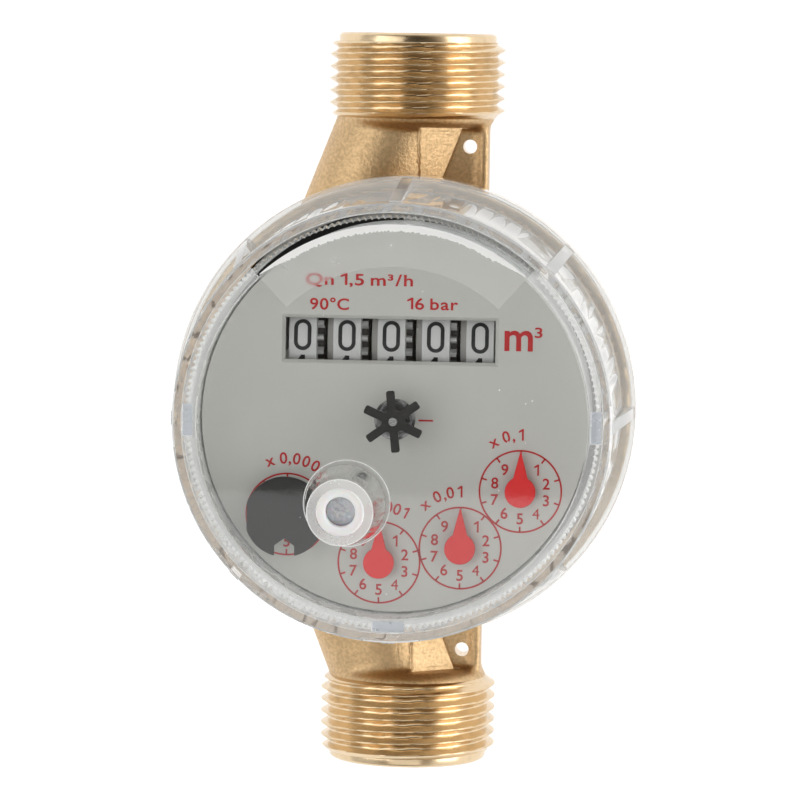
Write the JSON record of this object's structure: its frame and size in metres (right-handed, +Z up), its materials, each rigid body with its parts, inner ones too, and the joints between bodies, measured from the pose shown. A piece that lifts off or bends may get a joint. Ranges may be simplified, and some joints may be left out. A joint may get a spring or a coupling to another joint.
{
  "type": "water meter",
  "caption": "Single-jet water meter: cast brass pipe body with threaded ends, clear snap ring and lens over a dry register with number drums, pointers and a flow star.",
  "frame": {"origin": "centre of the flat foot under the brass cup, on the surface that the meter stands on", "axes": "+Y along the pipe towards the inlet, +Z up out of the dial, +X to the right of the dial as it is read"},
  "size_m": [0.0682, 0.11, 0.0746],
  "materials": {
    "cast_brass": "sand-cast necks and cup, machined thread and faces",
    "turned_brass": "turned, bright",
    "white_plastic": "moulded, satin",
    "steel": "ground",
    "grey_plastic": "moulded, satin",
    "magnet": "sintered ferrite",
    "black_rubber": "moulded",
    "dark_plastic": "moulded, satin",
    "dial_grey": "matt printed dial",
    "black_plastic": "moulded, matt",
    "red_plastic": "moulded, matt",
    "clear_plastic": "clear, polished"
  },
  "bodies": {
    "meter": {"body": "cast_brass", "inlet_strainer": "white_plastic", "impeller_pin": "steel", "pressure_plate": "turned_brass", "plate_oring": "black_rubber", "clamp_ring": "turned_brass", "register_base": "dark_plastic", "base_spacers": "turned_brass", "lower_plate": "grey_plastic", "frame_pillars": "turned_brass", "top_plate": "grey_plastic", "dial_plate": "dial_grey", "star_bush": "steel", "drum_shaft": "steel", "drum_cheeks": "grey_plastic", "pinion_shaft": "steel", "lens_gasket": "black_rubber", "lens": "clear_plastic", "port_plug": "white_plastic", "port_seal": "white_plastic", "snap_ring": "clear_plastic"},
    "impeller": {"impeller": "grey_plastic", "impeller_magnet": "magnet"},
    "centre": {"centre_arbor": "steel", "follower_magnet": "magnet", "star_wheel": "black_plastic"},
    "reduction_1": {"reduction_gear_1": "white_plastic"},
    "reduction_2": {"reduction_gear_2": "white_plastic"},
    "pointer_4": {"pointer_gear_4": "white_plastic", "pulse_disc": "black_plastic"},
    "idler_3": {"idler_gear_3": "white_plastic"},
    "pointer_3": {"pointer_gear_3": "white_plastic", "pointer_3": "red_plastic"},
    "idler_2": {"idler_gear_2": "white_plastic"},
    "pointer_2": {"pointer_gear_2": "white_plastic", "pointer_2": "red_plastic"},
    "idler_1": {"idler_gear_1": "white_plastic"},
    "pointer_1": {"pointer_gear_1": "white_plastic", "pointer_1": "red_plastic"},
    "drum_idler": {"drum_idler_gear": "white_plastic"},
    "worm": {"worm_arbor": "white_plastic"},
    "drum_1": {"drum_1": "white_plastic"},
    "drum_2": {"drum_2": "white_plastic"},
    "drum_3": {"drum_3": "white_plastic"},
    "drum_4": {"drum_4": "white_plastic"},
    "drum_5": {"drum_5": "white_plastic"},
    "transfer_1": {"transfer_pinion_1": "black_plastic"},
    "transfer_2": {"transfer_pinion_2": "black_plastic"},
    "transfer_3": {"transfer_pinion_3": "black_plastic"},
    "transfer_4": {"transfer_pinion_4": "black_plastic"}
  },
  "joints": [
    {"name": "impeller_spin", "type": "hinge", "parent": "meter", "child": "impeller", "pos_m": [0, 0, 0.012], "axis": [0, 0, 1], "continuous": true},
    {"name": "centre_spin", "type": "hinge", "parent": "meter", "child": "centre", "pos_m": [0, 0, 0.045], "axis": [0, 0, 1], "continuous": true},
    {"name": "reduction_1_spin", "type": "hinge", "parent": "meter", "child": "reduction_1", "pos_m": [-0.00257, -0.00705, 0.045], "axis": [0, 0, 1], "continuous": true},
    {"name": "reduction_2_spin", "type": "hinge", "parent": "meter", "child": "reduction_2", "pos_m": [-0.01005, -0.00664, 0.045], "axis": [0, 0, 1], "continuous": true},
    {"name": "pointer_4_spin", "type": "hinge", "parent": "meter", "child": "pointer_4", "pos_m": [-0.01529, -0.01396, 0.045], "axis": [0, 0, 1], "continuous": true},
    {"name": "idler_3_spin", "type": "hinge", "parent": "meter", "child": "idler_3", "pos_m": [-0.00773, -0.01419, 0.045], "axis": [0, 0, 1], "continuous": true},
    {"name": "pointer_3_spin", "type": "hinge", "parent": "meter", "child": "pointer_3", "pos_m": [-0.00195, -0.02061, 0.045], "axis": [0, 0, 1], "continuous": true},
    {"name": "idler_2_spin", "type": "hinge", "parent": "meter", "child": "idler_2", "pos_m": [0.00206, -0.0142, 0.045], "axis": [0, 0, 1], "continuous": true},
    {"name": "pointer_2_spin", "type": "hinge", "parent": "meter", "child": "pointer_2", "pos_m": [0.00965, -0.01831, 0.045], "axis": [0, 0, 1], "continuous": true},
    {"name": "idler_1_spin", "type": "hinge", "parent": "meter", "child": "idler_1", "pos_m": [0.00953, -0.01075, 0.045], "axis": [0, 0, 1], "continuous": true},
    {"name": "pointer_1_spin", "type": "hinge", "parent": "meter", "child": "pointer_1", "pos_m": [0.01814, -0.00997, 0.045], "axis": [0, 0, 1], "continuous": true},
    {"name": "drum_idler_spin", "type": "hinge", "parent": "meter", "child": "drum_idler", "pos_m": [0.01336, -0.00147, 0.045], "axis": [0, 0, 1], "continuous": true},
    {"name": "worm_spin", "type": "hinge", "parent": "meter", "child": "worm", "pos_m": [0.01633, 0.00622, 0.045], "axis": [0, 0, 1], "continuous": true},
    {"name": "drum_1_spin", "type": "hinge", "parent": "meter", "child": "drum_1", "pos_m": [0, 0.011, 0.0451], "axis": [1, 0, 0], "continuous": true},
    {"name": "drum_2_spin", "type": "hinge", "parent": "meter", "child": "drum_2", "pos_m": [0, 0.011, 0.0451], "axis": [1, 0, 0], "continuous": true},
    {"name": "drum_3_spin", "type": "hinge", "parent": "meter", "child": "drum_3", "pos_m": [0, 0.011, 0.0451], "axis": [1, 0, 0], "continuous": true},
    {"name": "drum_4_spin", "type": "hinge", "parent": "meter", "child": "drum_4", "pos_m": [0, 0.011, 0.0451], "axis": [1, 0, 0], "continuous": true},
    {"name": "drum_5_spin", "type": "hinge", "parent": "meter", "child": "drum_5", "pos_m": [0, 0.011, 0.0451], "axis": [1, 0, 0], "continuous": true},
    {"name": "transfer_1_spin", "type": "hinge", "parent": "meter", "child": "transfer_1", "pos_m": [0, 0.019, 0.04048], "axis": [1, 0, 0], "continuous": true},
    {"name": "transfer_2_spin", "type": "hinge", "parent": "meter", "child": "transfer_2", "pos_m": [0, 0.019, 0.04048], "axis": [1, 0, 0], "continuous": true},
    {"name": "transfer_3_spin", "type": "hinge", "parent": "meter", "child": "transfer_3", "pos_m": [0, 0.019, 0.04048], "axis": [1, 0, 0], "continuous": true},
    {"name": "transfer_4_spin", "type": "hinge", "parent": "meter", "child": "transfer_4", "pos_m": [0, 0.019, 0.04048], "axis": [1, 0, 0], "continuous": true}
  ],
  "couplings": [
    {"joint": "centre_spin", "follows": "impeller_spin", "ratio": 1},
    {"joint": "reduction_1_spin", "follows": "impeller_spin", "ratio": -0.25},
    {"joint": "reduction_2_spin", "follows": "impeller_spin", "ratio": 0.0625},
    {"joint": "pointer_4_spin", "follows": "impeller_spin", "ratio": -0.03125},
    {"joint": "idler_3_spin", "follows": "impeller_spin", "ratio": 0.0052083},
    {"joint": "pointer_3_spin", "follows": "impeller_spin", "ratio": -0.003125},
    {"joint": "idler_2_spin", "follows": "impeller_spin", "ratio": 0.00052083},
    {"joint": "pointer_2_spin", "follows": "impeller_spin", "ratio": -0.0003125},
    {"joint": "idler_1_spin", "follows": "impeller_spin", "ratio": 0.000052083},
    {"joint": "pointer_1_spin", "follows": "impeller_spin", "ratio": -0.00003125},
    {"joint": "drum_idler_spin", "follows": "impeller_spin", "ratio": 0.000013889},
    {"joint": "worm_spin", "follows": "impeller_spin", "ratio": -0.0000625},
    {"joint": "drum_1_spin", "follows": "impeller_spin", "ratio": -0.000003125},
    {"joint": "drum_2_spin", "follows": "impeller_spin", "ratio": -0.0000003125},
    {"joint": "drum_3_spin", "follows": "impeller_spin", "ratio": -0.00000003125},
    {"joint": "drum_4_spin", "follows": "impeller_spin", "ratio": -0.000000003125},
    {"joint": "drum_5_spin", "follows": "impeller_spin", "ratio": -0.0000000003125},
    {"joint": "transfer_1_spin", "follows": "impeller_spin", "ratio": 0.00000078125},
    {"joint": "transfer_2_spin", "follows": "impeller_spin", "ratio": 0.000000078125},
    {"joint": "transfer_3_spin", "follows": "impeller_spin", "ratio": 0.0000000078125},
    {"joint": "transfer_4_spin", "follows": "impeller_spin", "ratio": 0.00000000078125}
  ]
}
